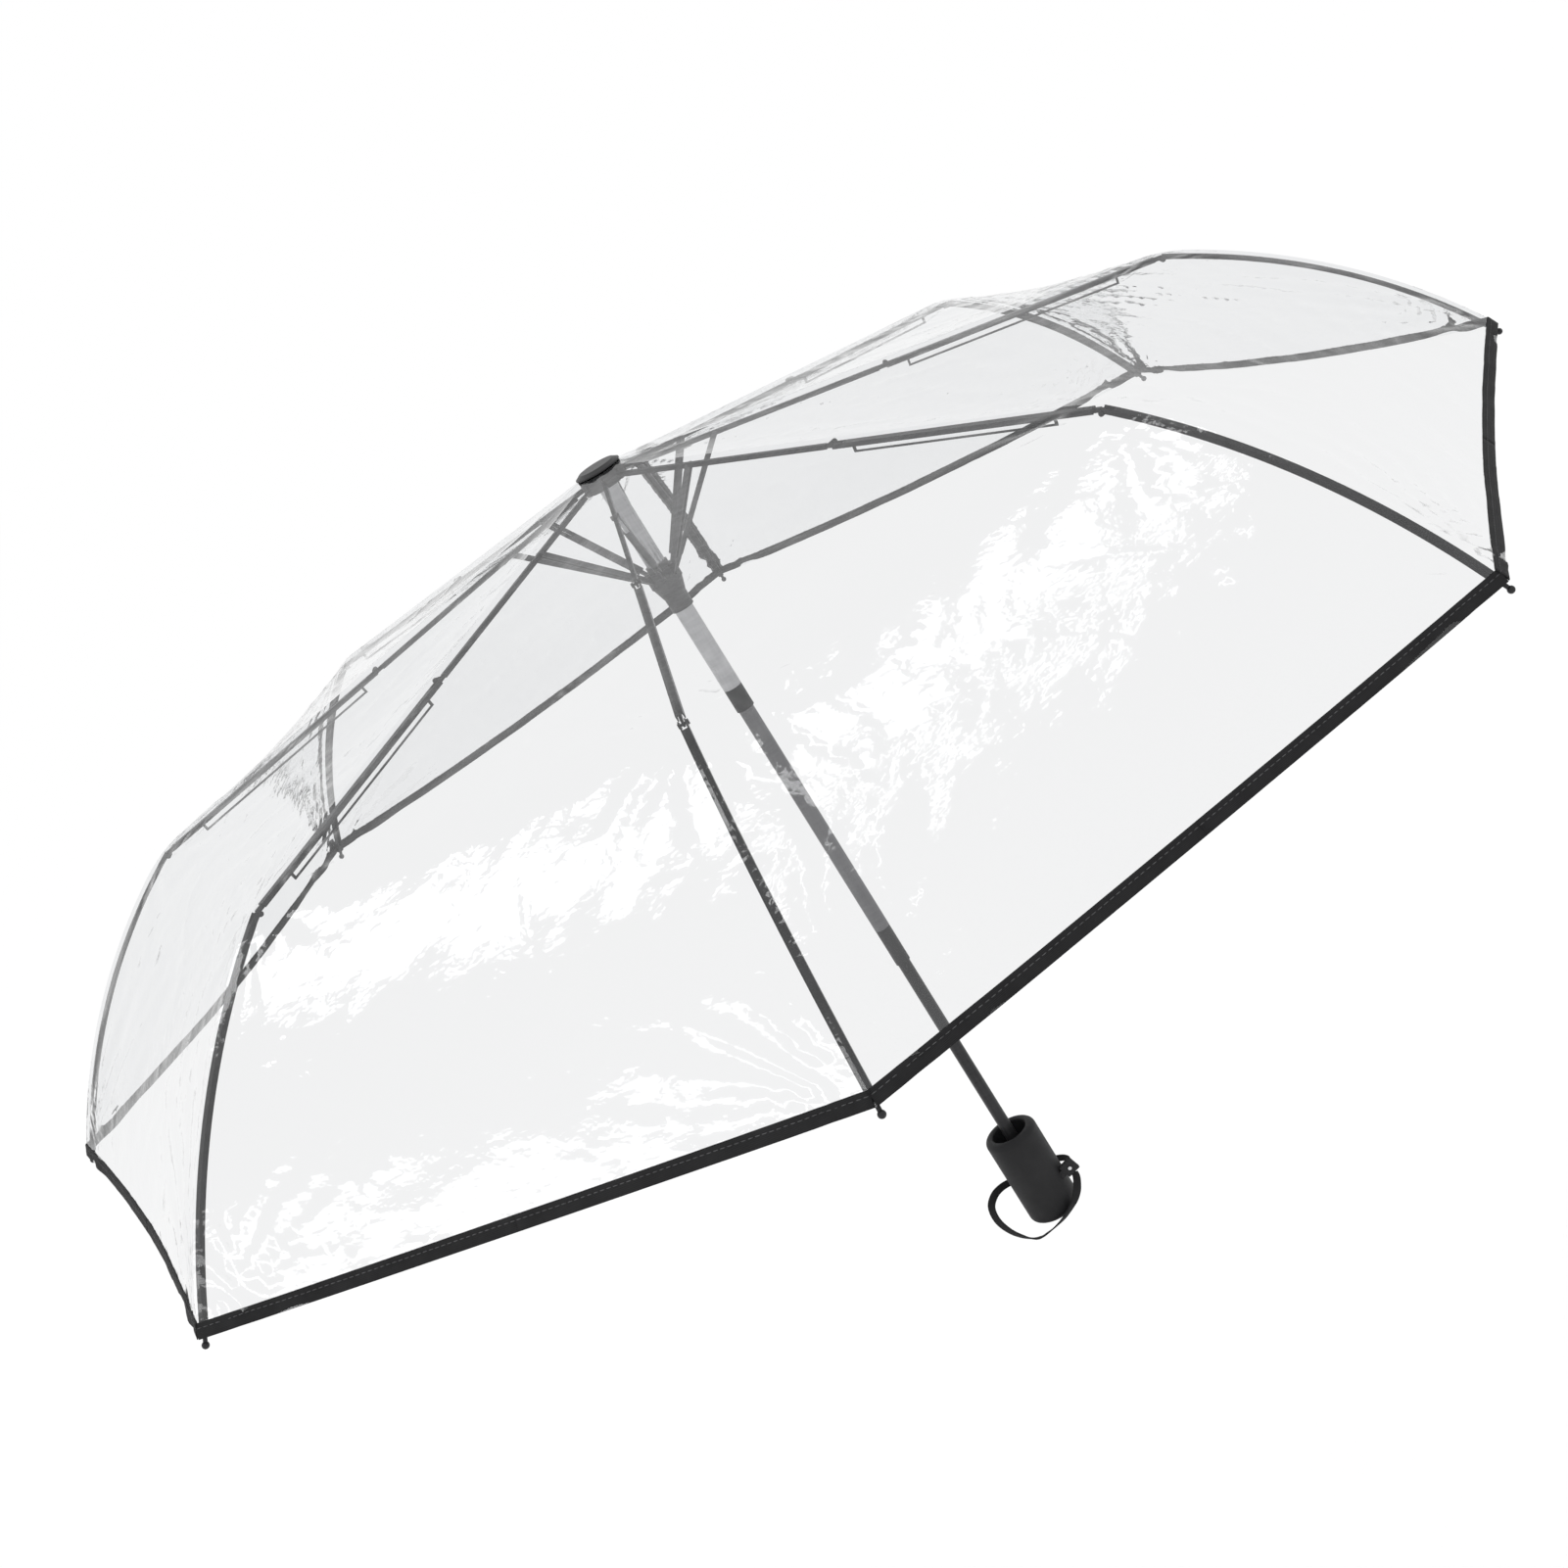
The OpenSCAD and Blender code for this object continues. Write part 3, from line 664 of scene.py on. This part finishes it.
ribbon_weave = woven("ribbon_weave", (0.008, 0.008, 0.0085), (0.024, 0.024, 0.025), "along")[0]
tape_weave = woven("tape_weave", (0.006, 0.006, 0.0065), (0.026, 0.026, 0.027), "along")[0]
thread = woven("sewing_thread", (0.05, 0.05, 0.052), (0.11, 0.11, 0.113))[0]
tab_weave, tree, shader = woven("tab_weave", (0.012, 0.012, 0.013), (0.034, 0.034, 0.035))
spot = node(tree, "SeparateXYZ", Vector=place(tree, move=(-0.0212, 0, 0.0065)))
from_rivet = calc(tree, "SQRT", calc(tree, "ADD", calc(tree, "MULTIPLY", spot.outputs[0],
                  spot.outputs[0]), calc(tree, "MULTIPLY", spot.outputs[2], spot.outputs[2])))
rivet = calc(tree, "MULTIPLY", calc(tree, "LESS_THAN", from_rivet, 0.00125),
             calc(tree, "LESS_THAN", spot.outputs[1], -0.01055))
woven_colour = shader.inputs["Base Color"].links[0].from_socket
tree.links.new(node(tree, "MixRGB", Fac=rivet, Color1=woven_colour,
                    Color2=(0.6, 0.6, 0.61, 1)).outputs[0], shader.inputs["Base Color"])
tree.links.new(rivet, shader.inputs["Metallic"])
tree.links.new(node(tree, "MapRange", Value=rivet, i3=0.75, i4=0.3).outputs[0],
               shader.inputs["Roughness"])
print("woven finishes ready")

# %% [markdown]
# Clear soft film is thin, so it doesn't bend what is seen through it. It takes a little of the light
# away and mirrors the room weakly, more so where it is seen at a slant. That is a transparent shader
# mixed with a glossy one by a Fresnel factor, with fine creases as bump and a faint milky haze.

# %% Clear film
def clear_film_finish():
    material, tree, shader, output = new_finish("clear_film")
    creases = blotch(tree, 1.0, 3.0, 0.55, place(tree, (38, 38, 90)))
    fine = blotch(tree, 1.0, 2.0, 0.5, place(tree, (160, 160, 240), (0.3, 0.2, 0.5)))
    height = calc(tree, "ADD", calc(tree, "MULTIPLY", creases, 0.8), calc(tree, "MULTIPLY", fine, 0.2))
    bump(tree, shader, height, 0.22, 0.004)
    bumped = shader.inputs["Normal"].links[0].from_socket
    shader.inputs["Base Color"].default_value = (0.9, 0.905, 0.91, 1)
    shader.inputs["Metallic"].default_value = 1.0
    rough = node(tree, "MapRange", Value=fine, i1=0.3, i2=0.7, i3=0.03, i4=0.11).outputs[0]
    tree.links.new(rough, shader.inputs["Roughness"])
    clear = node(tree, "BsdfTransparent", Color=(0.865, 0.868, 0.872, 1))
    gloss = node(tree, "Fresnel", IOR=1.5, Normal=bumped).outputs[0]
    share = calc(tree, "ADD", calc(tree, "MULTIPLY", gloss, 1.1), 0.02, True)
    mix = node(tree, "MixShader", i0=share, i1=clear.outputs[0], i2=shader.outputs[0])
    tree.links.new(mix.outputs[0], output.inputs["Surface"])
    return material


clear_film = clear_film_finish()

# %% Put the finishes on
def wear(obj, material):
    if not obj.material_slots:
        obj.data.materials.append(material)
    for slot in obj.material_slots:
        slot.material = material


finishes = {"handle_grip": grip_plastic, "strap_anchor": tab_weave, "lower_tube": lower_tube_paint,
            "mid_tube": tube_steel, "mid_tube_bush": black_plastic, "top_tube": top_tube_steel,
            "top_tube_bush": black_plastic, "crown": black_plastic, "crown_cap": black_plastic,
            "crown_hinge_wire": wire_steel, "runner": black_plastic,
            "runner_hinge_wire": wire_steel}
for name, cad_node in frame["nodes"].items():
    if name.startswith(("top_rib", "mid_rib", "outer_rib")):
        wear(cad_node, rib_steel)
    elif name.startswith("stretcher"):
        wear(cad_node, stretcher_steel)
    elif name in finishes:
        wear(cad_node, finishes[name])
wear(ribbon, ribbon_weave)
for tape, seam in tapes.values():
    wear(tape, tape_weave)
    wear(seam, thread)
for strip in film_strips:
    wear(strip[0], clear_film)
print("finishes on", len(frame["nodes"]) + 1 + 2 * len(tapes) + len(film_strips), "pieces")

# %% [markdown]
# A clear thing is shown by what it reflects. The room is white, like the floor, and soft boxes
# hang where the film mirrors them to the camera, so that their edges draw the film's shape.

# %% Floor, room and soft boxes
bpy.ops.mesh.primitive_plane_add(size=60, location=(0, 0, cad_box[0][2] - 0.55))
floor = bpy.context.object
floor.name = "floor"
floor_finish, tree, shader, output = new_finish("pale_floor")
shader.inputs["Base Color"].default_value = (1, 1, 1, 1)
shader.inputs["Roughness"].default_value = 1.0
shader.inputs["Specular IOR Level"].default_value = 0.0
wear(floor, floor_finish)
world = bpy.context.scene.world or bpy.data.worlds.new("room")
bpy.context.scene.world = world
world.use_nodes = True
world.node_tree.nodes["Background"].inputs[0].default_value = (1, 1, 1, 1)
world.node_tree.nodes["Background"].inputs[1].default_value = 1.0


def soft_box(name, at, aim, width, height, watts):
    light = bpy.data.lights.new(name, "AREA")
    light.shape, light.size, light.size_y, light.energy = "RECTANGLE", width, height, watts
    box = bpy.data.objects.new(name, light)
    bpy.context.scene.collection.objects.link(box)
    box.location = at
    box.rotation_euler = (Vector(aim) - Vector(at)).to_track_quat("-Z", "Y").to_euler()
    return box


soft_box("box_right", (1.17, -0.18, 2.7), (0.12, -0.33, 0.43), 0.50, 0.34, 2.1)
soft_box("box_strip", (1.25, -0.75, 2.5), (0.12, -0.33, 0.43), 0.60, 0.09, 0.7)
soft_box("box_left", (-1.5, 0.03, 2.43), (-0.05, -0.36, 0.43), 0.5, 0.42, 2.5)
soft_box("box_low", (-2.12, -1.45, 1.6), (-0.25, -0.37, 0.35), 1.0, 0.42, 3.7)
bpy.context.scene.view_settings.view_transform = "Standard"
